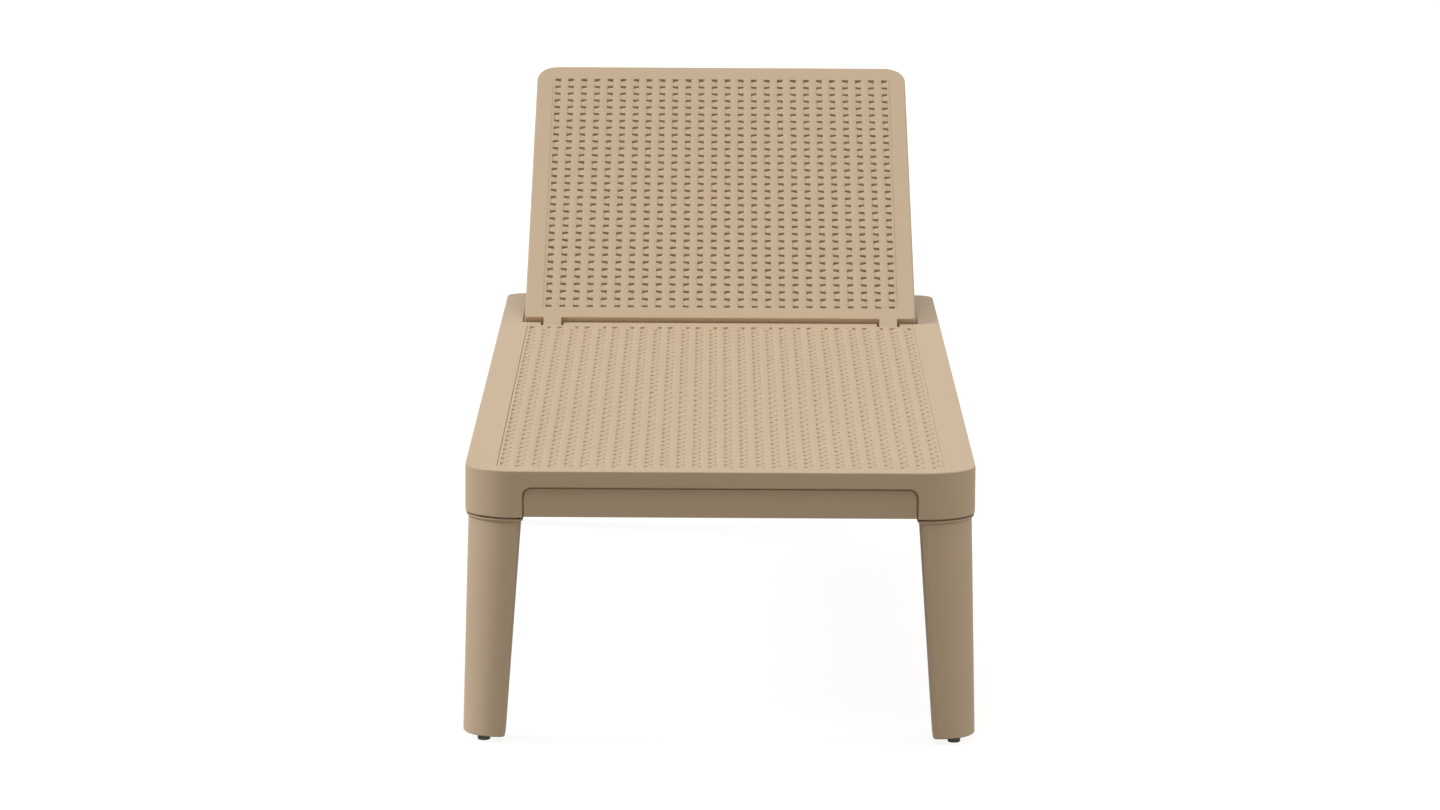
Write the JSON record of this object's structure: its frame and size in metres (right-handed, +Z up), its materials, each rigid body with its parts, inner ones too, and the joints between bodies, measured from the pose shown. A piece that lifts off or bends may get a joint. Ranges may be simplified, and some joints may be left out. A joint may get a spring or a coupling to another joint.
{
  "type": "adjustable sun lounger",
  "caption": "Moulded resin sun lounger: flat deck on plug-in legs, with a hinged backrest that a swinging bail props at stepped angles.",
  "frame": {"origin": "on the floor, under the middle of the box round the lounger with its backrest at the pictured angle", "axes": "+Z up, +Y from the foot end to the head end, +X to the right of a viewer who stands at the foot end"},
  "size_m": [0.6788, 1.9111, 0.6959],
  "materials": {
    "resin": "satin moulded polypropylene, taupe beige",
    "glide_rubber": "matt dark grey",
    "steel": "plain stainless",
    "grey_plastic": "matt dark grey",
    "painted_tube": "powder coat, taupe beige"
  },
  "bodies": {
    "frame": {"seat_frame": "resin", "rear_crossbar": "resin", "front_left_leg": "resin", "front_right_leg": "resin", "rear_left_leg": "resin", "rear_right_leg": "resin", "front_left_glide": "glide_rubber", "front_right_glide": "glide_rubber", "rear_left_glide": "glide_rubber", "rear_right_glide": "glide_rubber", "front_left_leg_screw": "steel", "front_right_leg_screw": "steel", "rear_left_leg_screw": "steel", "rear_right_leg_screw": "steel", "left_hinge_pin": "steel", "right_hinge_pin": "steel", "left_front_bracket_screw": "steel", "left_rear_bracket_screw": "steel", "right_front_bracket_screw": "steel", "right_rear_bracket_screw": "steel", "left_lower_crossbar_screw": "steel", "left_upper_crossbar_screw": "steel", "right_lower_crossbar_screw": "steel", "right_upper_crossbar_screw": "steel", "left_hinge_clip": "grey_plastic", "right_hinge_clip": "grey_plastic", "left_bail_bracket": "grey_plastic", "right_bail_bracket": "grey_plastic"},
    "backrest": {"backrest_panel": "resin"},
    "bail": {"support_bail": "painted_tube"}
  },
  "joints": [
    {"name": "back_tilt", "type": "hinge", "parent": "frame", "child": "backrest", "pos_m": [0, 0.33785, 0.3495], "axis": [1, 0, 0], "range_deg": [-28.7, 31.3]},
    {"name": "bail_swing", "type": "hinge", "parent": "frame", "child": "bail", "pos_m": [0, 0.48785, 0.3275], "axis": [1, 0, 0], "range_deg": [-57.4, 62.6]}
  ],
  "couplings": [
    {"joint": "bail_swing", "follows": "back_tilt", "ratio": 2}
  ]
}
